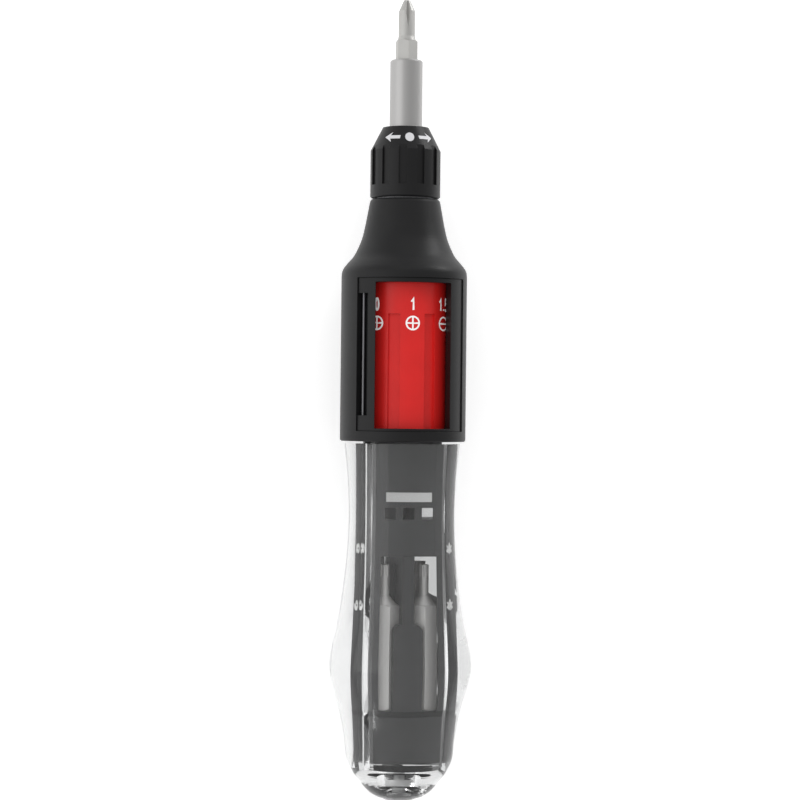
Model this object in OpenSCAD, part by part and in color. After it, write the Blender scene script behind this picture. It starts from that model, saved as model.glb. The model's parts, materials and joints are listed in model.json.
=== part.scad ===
// Pocket screwdriver with a bit drum, a ratchet nose and a clear handle that slides.
// The tool lies on its handle's belly, its axis along Y with the tip towards +Y,
// and its drum window faces up. All lengths are in millimetres.
// Each module is drawn upright, tip towards +Z and window towards -Y, and
// lay_down() turns it into its place.

/* [Lengths along the axis] */
// Gap between the handle's mouth and the housing
handle_gap = 0.4; // [0.3:0.1:0.8]
// Length of the housing's neck, which holds the ratchet body
neck_len = 12.8; // [11:0.2:16]
// Gap between the housing and the selector ring
selector_gap = 0.3; // [0.2:0.05:0.6]
// Length of the nose sleeve that stands out of the selector ring
nose_len = 13.6; // [11:0.2:18]
// Depth of the loaded bit's seat in the nose sleeve
bit_seat = 15.9; // [15:0.1:18]

/* [Bits] */
// Length of every bit
bit_len = 28; // [27:0.5:30]
// Width of a bit's hexagon across its flats
bit_af = 4; // [3.9:0.05:4.1]
// Length of a bit's hexagonal shank
shank_len = 20; // [19:0.5:21]
// Clearance of a bit in its socket, on each side
bit_fit = 0.05; // [0.03:0.01:0.08]
// Radius of the loaded bit's blade
blade_r = 1.65; // [1.5:0.05:1.8]
// Radius of a star bit's tip
star_r = 0.72; // [0.6:0.02:0.9]

/* [Bit drum] */
// Wall of the tube that the drum turns on
tube_wall = 1.715; // [1.6:0.005:2]
// Number of chambers in the drum
chamber_count = 8; // [6:1:8]
// Thinnest wall outside a chamber
drum_wall = 0.5; // [0.4:0.05:0.7]
// Thickness of the drum's floor
drum_floor = 1.1; // [0.8:0.1:1.4]
// Thickness of the drum's cap
drum_cap_t = 1.2; // [0.8:0.1:1.6]
// Free length in a chamber beyond its bit
chamber_play = 0.3; // [0.2:0.05:0.5]
// Clearance between each end of the drum and the housing
drum_end_play = 0.4; // [0.3:0.05:0.6]
// Width of the flutes between the chambers
flute_w = 2.4; // [1.6:0.1:2.6]
// Depth of the flutes
flute_depth = 0.6; // [0.4:0.05:0.8]
// Height of the plain label band above the flutes
label_band = 7.4; // [6:0.1:9]

/* [Housing] */
// Wall of the housing round the drum's room
housing_wall = 2.45; // [2.3:0.05:3]
// Wall of the housing's neck at its top
neck_wall = 1; // [0.8:0.05:1.4]
// Clearance round the drum
drum_gap = 0.7; // [0.5:0.05:0.8]
// Height of the shoulder, from the straight body to the top of the neck
shoulder_len = 15.6; // [14:0.2:18]
// Thickness of the wall between the drum's room and the neck
web_t = 2.6; // [2.2:0.1:3.4]
// Chamfer at the top of the neck
neck_chamfer = 0.25; // [0.1:0.05:0.5]

/* [Window panel] */
// Half of the angle that the panel spans
panel_half_angle = 58; // [54:1:62]
// Half of the angle that the window spans at the panel's face
window_half_angle = 37.8; // [34:0.2:39]
// Angle by which the window is wider at the housing's inner wall, on each side
window_undercut = 6.5; // [0:0.5:7]
// Distance of the panel's top edge below the top of the drum's room
panel_top_gap = 0.7; // [0.6:0.05:1]
// Depth of the panel's face below the housing's surface
panel_recess = 0.25; // [0.15:0.05:0.4]
// Thickness of the panel
panel_t = 1.5; // [1.2:0.05:1.55]
// Width of the panel's frame above the window
frame_top_w = 0.9; // [0.6:0.05:1.4]
// Width of the panel's frame below the window
frame_bottom_w = 0.55; // [0.45:0.05:0.9]
// Angle of the frame between the window and the spring slot
frame_side_angle = 8; // [6:0.2:9]
// Gap at the panel's edges
panel_seam = 0.05; // [0.03:0.01:0.1]
// Distance of the spring slot from the panel's top and bottom edges
slot_margin = 3.1; // [2.5:0.1:5]
// Radius of the index spring's wire
spring_wire_r = 0.3; // [0.2:0.05:0.35]
// Angle of the index spring from the front
spring_angle = 55.4; // [54:0.2:55.6]
// Radius of the index pin
index_pin_r = 0.35; // [0.25:0.05:0.4]

/* [Ratchet] */
// Radius of the nose sleeve's bearing part
sleeve_r = 3.45; // [3.4:0.01:3.5]
// Step from there to the nose sleeve's free end
nose_step = 0.18; // [0.1:0.01:0.25]
// Running clearance of the nose sleeve in its bearings
bearing_fit = 0.05; // [0.02:0.01:0.08]
// Number of teeth on the ratchet gear
tooth_count = 24; // [24:12:36]
// Depth of the ratchet gear from its bore to the teeth's tops
gear_rim = 0.95; // [0.9:0.05:1]
// Depth of the ratchet gear's teeth
tooth_depth = 0.45; // [0.4:0.05:0.5]
// Width of the ratchet gear along the axis
gear_w = 4; // [3.4:0.2:4.2]
// Distance of the gear from the selector ring's lower edge
gear_rise = 3.4; // [3:0.1:3.6]
// Height of the ratchet body above the gear's room
ratchet_head = 1.9; // [1.6:0.1:3]
// Wall of the ratchet body round the gear
ratchet_wall = 1.3; // [1.25:0.05:1.35]
// Step from there to the plug in the housing's neck
plug_step = 0.2; // [0.1:0.05:0.4]
// Depth of the pawls' pivots below the ratchet body's surface
pawl_set_in = 0.65; // [0.6:0.05:0.7]
// Radius of the pawl pins
pawl_pin_r = 0.3; // [0.25:0.05:0.35]

/* [Selector ring] */
// Wall of the selector ring
selector_wall = 1.15; // [1.1:0.05:1.5]
// Width of the rim at the top of the selector ring's cone
cone_rim = 1.03; // [0.9:0.01:1.3]
// Height of the cone
cone_h = 4.7; // [4.2:0.1:5.2]
// Clearance between the selector ring and the ratchet body
selector_fit = 0.1; // [0.08:0.01:0.12]
// Number of grip grooves
groove_count = 12; // [8:1:16]
// Width of a grip groove
groove_w = 1.6; // [1.2:0.1:1.8]
// Depth of a grip groove
groove_depth = 0.45; // [0.3:0.05:0.5]
// Height of the plain band below the grooves
selector_band = 2.5; // [2:0.1:3.5]
// Angle that the selector ring turns to each side
selector_turn = 35; // [30:1:36]

/* [Bit carrier] */
// Distance of a spare bit's corner from the carrier's front or rear face
core_cheek = 0.64; // [0.55:0.01:0.8]
// Rise of the carrier's rounded corners above its flats
core_corner_rise = 2.45; // [2.3:0.05:2.6]
// Reach of the carrier's two side rails beyond its flats
rail_reach = 1.15; // [0.9:0.05:1.4]
// Thickness of the side rails
rail_t = 2; // [1.7:0.1:2.6]
// Clearance between the carrier and the handle's bore
slide_fit = 0.15; // [0.1:0.01:0.2]
// Thickness of the carrier's flange
flange_t = 1.8; // [1.4:0.1:2.2]
// Wall of the housing round the carrier's flange
flange_seat_wall = 1.45; // [1.2:0.05:1.8]
// Distance of a spare bit's flat from the carrier's middle, sideways
spare_inset_x = 0.95; // [0.9:0.05:1.2]
// Distance of a spare bit's corner from the carrier's middle, to the front or back
spare_inset_y = 1.49; // [1.4:0.01:1.7]
// Room above the spare bits in their bay
bay_headroom = 1.9; // [1.2:0.1:3]
// Height of the carrier's foot below that bay
carrier_foot = 8.85; // [8:0.05:10]
// Height from the bay to the see-through openings
sight_rise = 7.4; // [5:0.1:9]
// Height of the carrier above the rod's guide plate
carrier_head = 10; // [8:0.5:13]
// Width of the block between the spare bits
block_w = 5; // [4.4:0.1:5.4]
// Width of the rib above that block
rib_w = 2.1; // [1.9:0.1:2.4]
// Height of that block
block_h = 16; // [14:0.5:17]

/* [Handle] */
// Thinnest wall of the handle, at its waist
handle_wall = 1.32; // [1.1:0.01:2]
// Rise of the handle's belly above its waist
belly_rise = 3.63; // [3:0.01:5]
// Thickness of the handle's end below the bore
end_t = 7.1; // [6.8:0.1:8]
// Gap between the handle's bore floor and the carrier's cap
end_gap = 1.45; // [1:0.05:2]

/* [Push rod] */
// Radius of the push rod
rod_r = 1.1; // [1:0.05:1.2]
// Radius of the push rod's head
rod_head_r = 1.8; // [1.7:0.05:1.85]
// Length of the push rod's head
rod_head_len = 5.4; // [4.8:0.1:6]
// Length of the magnet on the push rod's head
rod_magnet_len = 2.5; // [2:0.1:3]
// Gap between the magnet and the loaded bit
rod_gap = 0.1; // [0.05:0.05:0.2]

/* [Hidden] */
$fn = 96;

// One overrun serves all cuts.
over = 0.5;
// Ratio of a hexagon's corner radius to its width across the flats.
corner_share = 1 / (2 * cos(30));
bit_corner_r = bit_af * corner_share;
bit_root_r = 0.45 * bit_af;
socket_af = bit_af + 2 * bit_fit;
socket_corner_r = socket_af * corner_share;

// Points of the bits: radii of the cross points and of their flat ends,
// widths and thicknesses of the blades, and widths of the hexagons.
blade_end_r = 0.66;
cross_0_r = 1.2;
cross_0_end_r = 0.4;
cross_1_r = 1.5;
cross_1_end_r = 0.6;
slotted_15_w = 1.5;
slotted_15_t = 0.3;
slotted_20_w = 2;
slotted_20_t = 0.4;
slotted_30_w = 3;
slotted_30_t = 0.6;
hex_15_af = 1.5;
hex_20_af = 2;
point_slope = 2.2;
star_lobe_r = star_r * 0.28;

// Stations along the axis, counted from the handle's rear end.
gear_gap = 0.2;
cap_t = 2;
plate_t = 1.9;
plate_rise = 1.2;
sight_h = 2.4;
cap_z = end_t + end_gap;
carrier_z = cap_z + cap_t;
bay_z = carrier_z + carrier_foot;
bay_h = bit_len + bay_headroom;
bay_top_z = bay_z + bay_h;
sight_z = bay_top_z + sight_rise;
plate_z = sight_z + sight_h + plate_rise;
housing_z = plate_z + plate_t + carrier_head;
handle_len = housing_z - handle_gap;
room_z = housing_z + flange_t;
drum_z = room_z + drum_end_play;
chamber_z = drum_z + drum_floor;
chamber_len = bit_len + chamber_play;
drum_cap_z = chamber_z + chamber_len;
drum_top_z = drum_cap_z + drum_cap_t;
room_top_z = drum_top_z + drum_end_play;
neck_z = room_top_z + web_t;
housing_top_z = neck_z + neck_len;
selector_z = housing_top_z + selector_gap;
gear_z = selector_z + gear_rise;
gear_top_z = gear_z + gear_w;
bush_z = gear_top_z + gear_gap;
cone_z = bush_z + ratchet_head;
selector_top_z = cone_z + cone_h;
selector_len = selector_top_z - selector_z;
nose_top_z = selector_top_z + nose_len;
bit_rear_z = nose_top_z - bit_seat;
tip_z = bit_rear_z + bit_len;
rod_tip_z = bit_rear_z - rod_gap;
slide_stroke = rod_tip_z - drum_z;
total_len = tip_z;

// Drum, and the tube that it turns on.
tube_gap = 0.1;
web_tip = 0.3;
tube_seat = 1;
magnet_set_back = 0.2;
loading_magnet_r = 1.2;
chamber_step = 360 / chamber_count;
tube_bore_r = bit_corner_r + 2 * tube_gap;
tube_r = tube_bore_r + tube_wall;
chamber_r = tube_r + tube_gap + bit_corner_r;
drum_r = chamber_r + socket_corner_r + drum_wall;
drum_core_r = (socket_af + web_tip) / (2 * sin(chamber_step / 2));
drum_bore_r = tube_r + tube_gap;
room_r = drum_r + drum_gap;
housing_r = room_r + housing_wall;
flange_r = housing_r - flange_seat_wall;
flute_top_z = drum_top_z - label_band;
loading_slot_w = 2 * bit_corner_r + 3 * tube_gap;
loading_z = (chamber_z + drum_cap_z) / 2;

// Window panel, measured round the front of the housing.
spring_seat = 1.5;
pin_gap = 0.05;
spring_end_wall = 0.2;
panel_r = housing_r - panel_recess;
panel_seat_r = panel_r - panel_t;
panel_z = room_z + frame_bottom_w / 2;
panel_top_z = room_top_z - panel_top_gap;
window_z = panel_z + frame_bottom_w;
window_top_z = panel_top_z - frame_top_w;
slot_inner_angle = window_half_angle + frame_side_angle;
slot_z = panel_z + slot_margin;
slot_top_z = panel_top_z - slot_margin;
spring_path_r = panel_seat_r + spring_wire_r + tube_gap;
spring_z = slot_z - spring_seat;
index_z = drum_cap_z + drum_cap_t / 2;
spring_top_z = panel_top_z - spring_end_wall;

// Ratchet, in the neck and under the selector ring.
sleeve_drop = 1;
sleeve_chamfer = 0.3;
ring_t = 0.5;
ring_gap_angle = 20;
ring_play = 0.05;
ring_groove_depth = 0.4;
ring_reach = 0.75;
throat_gap = 0.4;
bush_head = 3;
nose_r = sleeve_r - nose_step;
gear_r = sleeve_r + gear_rim;
sleeve_z = neck_z - sleeve_drop;
sleeve_step_z = selector_top_z + 2 * selector_fit;
tube_top_z = sleeve_z - throat_gap;
throat_r = sleeve_r + ring_reach + throat_gap;
bearing_r = sleeve_r + bearing_fit;
gear_root_r = gear_r - tooth_depth;
gear_room_r = gear_r + gear_gap / 2;
gear_room_z = gear_z - gear_gap;
ratchet_r = gear_room_r + ratchet_wall;
plug_r = ratchet_r + plug_step;
neck_r = plug_r + neck_wall;
pawl_pivot_r = ratchet_r - pawl_set_in;
bush_top_z = cone_z - gear_gap + bush_head;
ratchet_top_z = cone_z - gear_gap;
tooth_step = 360 / tooth_count;
// Shares of a tooth's step: its flat top, and the flat floor between two teeth.
tooth_land_share = 0.27;
tooth_root_share = 0.2;

// Pawls: angles are counted from the front, and each nose lies between two teeth.
pawl_play = 0.1;
pawl_fit = 0.05;
pawl_hub_r = 0.6;
pawl_h = 2.8;
pawl_pin_end = 0.4;
pawl_leg_len = 1.6;
pawl_nose_angle = 52.5;
pawl_pin_angle = 82.5;
pawl_window_angle = 93.5;
coil_wire_r = 0.09;
pawl_coil_turns = 3;

// Selector ring and its detent at the back.
selector_bore_r = ratchet_r + selector_fit;
selector_bush_r = gear_room_r + selector_fit;
selector_hole_r = sleeve_r + 1.5 * selector_fit;
selector_r = selector_bore_r + selector_wall;
cone_top_r = selector_hole_r + cone_rim;
finger_half_angle = 12;
finger_depth = 0.55;
detent_rise = 1.3;
detent_half_angle = selector_turn + 8;
detent_ball_r = 0.5;
detent_stand = 0.25;
detent_groove_depth = 0.4;
detent_hole_depth = 1.7;
detent_coil_turns = 4;
detent_z = selector_z + detent_rise;
mark_t = 0.08;
mark_dot_r = 0.9;
mark_turn = 3;
arrow_len = 3.3;
arrow_head_len = 1.6;
arrow_neck_len = 1.25;
arrow_head_half = 1;
arrow_shaft_half = 0.34;
mark_z = selector_top_z - 0.5 * cone_h;

// Carrier of the spare bits.
grip_w = 1.2;
grip_depth = 0.7;
grip_stand = 0.05;
grip_drop = 0.2;
bay_play = 0.1;
block_round = 1.2;
plate_half_w = 4.1;
sight_half_w = 4.3;
sight_post_w = 1.3;
face_half_w = 4.75;
face_depth = 0.2;
rod_tunnel_gap = 0.2;
spare_x = spare_inset_x + bit_af / 2;
spare_y = spare_inset_y + bit_corner_r;
core_half = spare_y + bit_corner_r + core_cheek;
core_corner_r = core_half + core_corner_rise;
rail_r = core_half + rail_reach;
bay_half_w = spare_x + bit_af / 2 + bay_play;
grip_z = bay_z - grip_drop - grip_w;
rod_tunnel_r = rod_r + rod_tunnel_gap;
head_tunnel_r = rod_head_r + rod_tunnel_gap;
rod_head_z = rod_tip_z - rod_magnet_len - rod_head_len;
head_tunnel_z = rod_head_z - slide_stroke - rod_tunnel_gap;

// Rear end of the handle, and what it holds.
plug_gap = 0.05;
plug_t = 1.85;
end_plug_r = 4.9;
nut_af = 4.4;
nut_t = 1.4;
rod_flange_r = 2.9;
rod_flange_t = 1.4;
rod_flange_drop = 1;
rod_stem_r = 1.45;
pocket_gap = 0.1;
magnet_r = 1.6;
washer_r = 4.3;
washer_t = 1.2;
nut_z = plug_t + plug_gap;
rod_flange_z = end_t - rod_flange_drop - rod_flange_t;

waist_r = core_corner_r + slide_fit + handle_wall;
belly_r = waist_r + belly_rise;

// Handle outline: shares of its length, of the waist's radius and of the belly's rise.
handle_outline_shares = [
    [0, 0.268, 0], [0.02, 0.549, 0], [0.054, 0.764, 0], [0.085, 0.911, 0], [0.12, 1, 0.022],
    [0.175, 1, 0.153], [0.25, 1, 0.428], [0.32, 1, 0.823], [0.374, 1, 1], [0.43, 1, 0.87],
    [0.51, 1, 0.527], [0.6, 1, 0.271], [0.7, 1, 0.074], [0.8, 1, 0], [0.9, 1, 0.078],
    [0.97, 1, 0.212], [1, 1, 0.279]
];
// Shoulder outline: shares of the shoulder's height and of its fall to the neck.
shoulder_outline_shares = [
    [0, 1], [0.06, 0.98], [0.11, 0.92], [0.17, 0.79], [0.25, 0.6], [0.33, 0.47],
    [0.48, 0.295], [0.64, 0.185], [0.8, 0.1], [1, 0]
];
curve_steps = 4;

// Point on a smooth curve between b and c, for t from 0 to 1.
function between(a, b, c, d, t) =
    ((2 * b) + (c - a) * t + (2 * a - 5 * b + 4 * c - d) * t * t
    + (3 * b - a - 3 * c + d) * t * t * t) / 2;
// Smooth curve through a list of points.
function smooth(points) = concat(
    [for (i = [0 : len(points) - 2]) for (s = [0 : curve_steps - 1])
        between(points[max(i - 1, 0)], points[i], points[i + 1],
            points[min(i + 2, len(points) - 1)], s / curve_steps)],
    [points[len(points) - 1]]);
// Point at a radius and at an angle from the front, positive towards +X.
function around(r, angle) = [r * sin(angle), -r * cos(angle)];

module lay_down() {
    translate([0, -total_len / 2, belly_r]) rotate([-90, 0, 0]) children();
}

module at_front(angle) {
    rotate([0, 0, angle]) children();
}

module ring(r_out, r_in, h) {
    difference() {
        cylinder(r = r_out, h = h);
        translate([0, 0, -over]) cylinder(r = r_in, h = h + 2 * over);
    }
}

// Wedge that covers the angles from low to high, out to a reach.
module wedge(low, high, reach, h) {
    steps = ceil((high - low) / 15);
    far = reach / cos(15);
    linear_extrude(h) polygon(concat([[0, 0]],
        [for (i = [0 : steps]) around(far, low + (high - low) * i / steps)]));
}

module arc_wall(r_out, r_in, low, high, h) {
    intersection() {
        ring(r_out, r_in, h);
        wedge(low, high, r_out, h);
    }
}

module hex_bar(af, h) {
    rotate([0, 0, 30]) cylinder(r = af * corner_share, h = h, $fn = 6);
}

// Square section with rounded corners and two side rails, which keys the handle to the carrier.
module core_section(grow) {
    intersection() {
        square(2 * (core_half + grow), center = true);
        circle(r = core_corner_r + grow);
    }
    square([2 * (rail_r + grow), rail_t + 2 * grow], center = true);
}

module core_bar(grow, h) {
    linear_extrude(h) core_section(grow);
}

// Shank of a bit with chamfered ends.
module shank() {
    end_r = bit_corner_r - bit_af / 10;
    rim_r = bit_corner_r + over;
    rim_z = rim_r - end_r;
    intersection() {
        hex_bar(bit_af, shank_len);
        rotate_extrude() polygon([
            [0, 0], [end_r, 0], [rim_r, rim_z], [rim_r, shank_len - rim_z], [end_r, shank_len],
            [0, shank_len]
        ]);
    }
}

// Cross-slot bit; the point's flat end is end_r wide.
module phillips_bit(r, end_r) {
    point_h = (r - end_r) * point_slope;
    web_r = end_r * 0.62;
    flute_len = (bit_len - shank_len) * 0.75;
    tilt = atan((r - web_r) / flute_len);
    difference() {
        union() {
            shank();
            translate([0, 0, shank_len])
                cylinder(r1 = bit_root_r, r2 = r, h = bit_af / 2 - r + bit_af / 10);
            translate([0, 0, shank_len - over])
                cylinder(r = r, h = bit_len - shank_len - point_h + over);
            translate([0, 0, bit_len - point_h]) cylinder(r1 = r, r2 = end_r, h = point_h);
        }
        for (i = [0 : 3])
            rotate([0, 0, 90 * i]) translate([web_r, 0, bit_len]) rotate([0, -tilt, 0])
                rotate([0, 0, -45]) translate([0, 0, -1.15 * flute_len])
                    cube([2 * r, 2 * r, 1.15 * flute_len + over]);
    }
}

module slotted_bit(blade_w, blade_t) {
    neck_len = bit_len - shank_len;
    root_half = 0.6 * blade_w;
    slope = 1.6 * (root_half - blade_t / 2);
    shank();
    intersection() {
        translate([0, 0, shank_len - over]) cylinder(r = blade_w / 2, h = neck_len + over);
        translate([-blade_w, 0, shank_len]) rotate([90, 0, 90]) linear_extrude(2 * blade_w)
            polygon([
                [-root_half, -2 * over], [root_half, -2 * over],
                [root_half, neck_len - slope], [blade_t / 2, neck_len],
                [-blade_t / 2, neck_len], [-root_half, neck_len - slope]
            ]);
    }
}

module hex_bit(af) {
    shank();
    translate([0, 0, shank_len])
        cylinder(r1 = bit_root_r, r2 = af * corner_share, h = bit_af / 4);
    translate([0, 0, shank_len - over]) hex_bar(af, bit_len - shank_len + over);
}

// Six-lobed star bit with a slim neck.
module star_bit() {
    neck_len = bit_len - shank_len;
    cone_len = bit_af * 0.45;
    star_len = neck_len * 0.3;
    shank();
    translate([0, 0, shank_len]) cylinder(r1 = bit_root_r, r2 = star_r, h = cone_len);
    translate([0, 0, shank_len]) cylinder(r = star_r, h = neck_len - star_len);
    translate([0, 0, shank_len - over]) linear_extrude(neck_len + over) {
        circle(r = star_r * 0.75, $fn = 24);
        for (i = [0 : 5]) rotate(60 * i)
            translate([star_r - star_lobe_r, 0]) circle(r = star_lobe_r, $fn = 16);
    }
}

module driver_bit() {
    color("silver") translate([0, 0, bit_rear_z]) phillips_bit(blade_r, blade_end_r);
}

module nose_sleeve() {
    free_len = nose_top_z - sleeve_step_z - sleeve_chamfer;
    color("darkgray") difference() {
        union() {
            translate([0, 0, sleeve_z]) cylinder(r = sleeve_r, h = sleeve_step_z - sleeve_z);
            translate([0, 0, sleeve_step_z]) cylinder(r = nose_r, h = free_len);
            translate([0, 0, sleeve_step_z + free_len])
                cylinder(r1 = nose_r, r2 = nose_r - sleeve_chamfer, h = sleeve_chamfer);
        }
        translate([0, 0, sleeve_z - over]) hex_bar(socket_af, nose_top_z - sleeve_z + 2 * over);
        translate([0, 0, neck_z - ring_t - 2 * ring_play])
            ring(sleeve_r + over, sleeve_r - ring_groove_depth, ring_t + ring_play);
    }
}

module ratchet_gear() {
    color("dimgray") translate([0, 0, gear_z]) linear_extrude(gear_w) difference() {
        polygon([for (i = [0 : tooth_count - 1])
            for (p = [[gear_r, -tooth_land_share / 2], [gear_r, tooth_land_share / 2],
                      [gear_root_r, (1 - tooth_root_share) / 2],
                      [gear_root_r, (1 + tooth_root_share) / 2]])
                around(p[0], (i + p[1]) * tooth_step)]);
        circle(r = sleeve_r);
    }
}

module sleeve_ring() {
    color("gray") translate([0, 0, neck_z - ring_t - ring_play])
        arc_wall(sleeve_r + ring_reach, sleeve_r - ring_groove_depth,
            ring_gap_angle, 360 - ring_gap_angle, ring_t - ring_play);
}

module selector_ring() {
    color("#2b2b2c") {
        difference() {
            rotate_extrude() polygon([
                [0, selector_z], [selector_r - neck_chamfer, selector_z],
                [selector_r, selector_z + neck_chamfer], [selector_r, cone_z],
                [cone_top_r, selector_top_z], [0, selector_top_z]
            ]);
            translate([0, 0, selector_z - over])
                cylinder(r = selector_bore_r, h = cone_z - selector_z + over);
            translate([0, 0, cone_z - over])
                cylinder(r = selector_bush_r, h = bush_head + selector_fit + over);
            translate([0, 0, selector_z])
                cylinder(r = selector_hole_r, h = selector_len + over);
            for (i = [0 : groove_count - 1]) at_front((i + 0.5) * 360 / groove_count)
                translate([-groove_w / 2, -selector_r - over, selector_z + selector_band])
                    cube([groove_w, groove_depth + over, selector_len - selector_band]);
            translate([0, 0, detent_z - detent_ball_r - selector_fit])
                arc_wall(selector_bore_r + detent_groove_depth, selector_bore_r - over,
                    180 - detent_half_angle, 180 + detent_half_angle,
                    2 * (detent_ball_r + selector_fit));
        }
        translate([0, 0, gear_z])
            arc_wall(selector_bore_r + selector_fit, selector_bore_r - finger_depth,
                -finger_half_angle, finger_half_angle, gear_w);
    }
}

// Arrow, drawn flat, that points to one side.
module arrow(side) {
    tip_x = side * arrow_len / 2;
    neck_x = side * (arrow_len / 2 - arrow_neck_len);
    barb_x = side * (arrow_len / 2 - arrow_head_len);
    polygon([
        [-tip_x, -arrow_shaft_half], [neck_x, -arrow_shaft_half], [barb_x, -arrow_head_half],
        [tip_x, 0],
        [barb_x, arrow_head_half], [neck_x, arrow_shaft_half], [-tip_x, arrow_shaft_half]
    ]);
}

// Dot and arrows, as a thin skin on the selector ring's cone.
module selector_marks() {
    color("white") intersection() {
        difference() {
            rotate_extrude() polygon([
                [0, cone_z], [selector_r + mark_t, cone_z],
                [cone_top_r + mark_t, selector_top_z], [0, selector_top_z]
            ]);
            rotate_extrude() polygon([
                [0, cone_z - over], [selector_r, cone_z - over], [selector_r, cone_z],
                [cone_top_r, selector_top_z], [0, selector_top_z + over]
            ]);
        }
        for (i = [-1 : 1]) at_front(i * selector_turn - mark_turn)
            translate([0, -cone_top_r + over, mark_z]) rotate([90, 0, 0])
                linear_extrude(selector_r - cone_top_r + 2 * over)
                    if (i == 0) circle(r = mark_dot_r, $fn = 48);
                    else arrow(i);
    }
}

// Right-hand pawl, with its nose between two teeth and its hub on the pin.
module pawl() {
    inner_r = gear_r + pawl_play;
    outer_r = ratchet_r - 2 * pawl_play;
    nose_top_r = outer_r - 4 * pawl_play;
    a = pawl_nose_angle;
    color("gray") translate([0, 0, gear_z]) difference() {
        union() {
            linear_extrude(pawl_h) polygon([
                around(gear_root_r + pawl_play, a - 1), around(gear_root_r + pawl_play, a + 1),
                around(inner_r, a + 3.5), around(inner_r + pawl_play, a + 12),
                around(pawl_pivot_r - 0.8 * pawl_hub_r, pawl_pin_angle),
                around(pawl_pivot_r + 0.8 * pawl_hub_r, pawl_pin_angle),
                around(outer_r, a + 18), around(nose_top_r, a + 3),
                around(nose_top_r, a - 3), around(inner_r, a - 3.5)
            ]);
            translate(around(pawl_pivot_r, pawl_pin_angle)) cylinder(r = pawl_hub_r, h = pawl_h);
        }
        translate([0, 0, -over]) translate(around(pawl_pivot_r, pawl_pin_angle))
            cylinder(r = pawl_pin_r + pawl_fit, h = pawl_h + 2 * over, $fn = 32);
    }
}

// Unbroken coil of wire that stands on its lower end: rings of six points along a helix.
module coil(r, height, turns) {
    per_turn = 10;
    count = turns * per_turn;
    points = [for (i = [0 : count]) for (j = [0 : 5])
        let (turn = i * 360 / per_turn, out = r + coil_wire_r * cos(60 * j))
            [out * cos(turn), out * sin(turn),
             coil_wire_r + (height - 2 * coil_wire_r) * i / count + coil_wire_r * sin(60 * j)]];
    faces = concat(
        [for (i = [0 : count - 1]) for (j = [0 : 5])
            [6 * i + j, 6 * i + (j + 1) % 6, 6 * (i + 1) + (j + 1) % 6]],
        [for (i = [0 : count - 1]) for (j = [0 : 5])
            [6 * i + j, 6 * (i + 1) + (j + 1) % 6, 6 * (i + 1) + j]],
        [[for (j = [5 : -1 : 0]) j]],
        [[for (j = [0 : 5]) 6 * count + j]]);
    polyhedron(points, faces);
}

// Torsion spring on the pawl's pin, above the pawl, with its leg along the arm.
module pawl_spring() {
    pin = around(pawl_pivot_r, pawl_pin_angle);
    nose = around(gear_root_r, pawl_nose_angle);
    coil_r = pawl_pin_r + pawl_fit + coil_wire_r;
    color("silver") translate([0, 0, gear_z + pawl_h]) translate(pin) {
        rotate([0, 0, atan2(nose[1] - pin[1], nose[0] - pin[0])]) {
            coil(coil_r, bush_z - gear_z - pawl_h - pawl_play, pawl_coil_turns);
            translate([coil_r, -coil_wire_r, 0])
                cube([pawl_leg_len, 2 * coil_wire_r, 2 * coil_wire_r]);
        }
    }
}

module right_pawl() {
    pawl();
}

module right_pawl_spring() {
    pawl_spring();
}

module left_pawl() {
    mirror([1, 0, 0]) pawl();
}

module left_pawl_spring() {
    mirror([1, 0, 0]) pawl_spring();
}

// Both pawl pins, which the pawls turn on.
module pawl_pins() {
    color("silver") for (side = [-1, 1])
        translate(around(pawl_pivot_r, side * pawl_pin_angle))
            translate([0, 0, gear_room_z - pawl_pin_end])
                cylinder(r = pawl_pin_r, h = bush_z - gear_room_z + 2 * pawl_pin_end, $fn = 32);
}

// Steel body that holds the sleeve, the gear and the pawls.
module ratchet_body() {
    color("#6d6f72") difference() {
        union() {
            translate([0, 0, neck_z]) cylinder(r = plug_r, h = neck_len);
            translate([0, 0, neck_z]) cylinder(r = ratchet_r, h = ratchet_top_z - neck_z);
        }
        translate([0, 0, neck_z - over]) cylinder(r = bearing_r, h = ratchet_top_z);
        translate([0, 0, gear_room_z]) cylinder(r = gear_room_r, h = ratchet_top_z);
        translate([0, 0, gear_room_z])
            wedge(-pawl_window_angle, pawl_window_angle, plug_r, bush_z - gear_room_z);
        pawl_pins();
        translate([0, ratchet_r - detent_hole_depth, detent_z]) rotate([-90, 0, 0])
            cylinder(r = detent_ball_r + pawl_fit, h = detent_hole_depth + over, $fn = 32);
    }
}

module front_bush() {
    color("#b08d4a") translate([0, 0, bush_z]) ring(gear_room_r, bearing_r, bush_top_z - bush_z);
}

module detent_ball() {
    color("silver") translate([0, ratchet_r + detent_stand - detent_ball_r, detent_z])
        sphere(r = detent_ball_r, $fn = 32);
}

module detent_spring() {
    room = detent_hole_depth + detent_stand - 2 * detent_ball_r;
    color("silver") translate([0, ratchet_r - detent_hole_depth, detent_z])
        rotate([-90, 0, 0]) coil(0.6 * detent_ball_r, room, detent_coil_turns);
}

// Outer surface of the housing, as a list of radius and height.
function housing_outline() = let (
        low_z = housing_top_z - shoulder_len,
        points = [for (s = shoulder_outline_shares)
            [neck_r + (housing_r - neck_r) * s[1], low_z + shoulder_len * s[0]]],
        curve = smooth(points))
    [for (p = curve) if (p[1] < housing_top_z - neck_chamfer) p];

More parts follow.
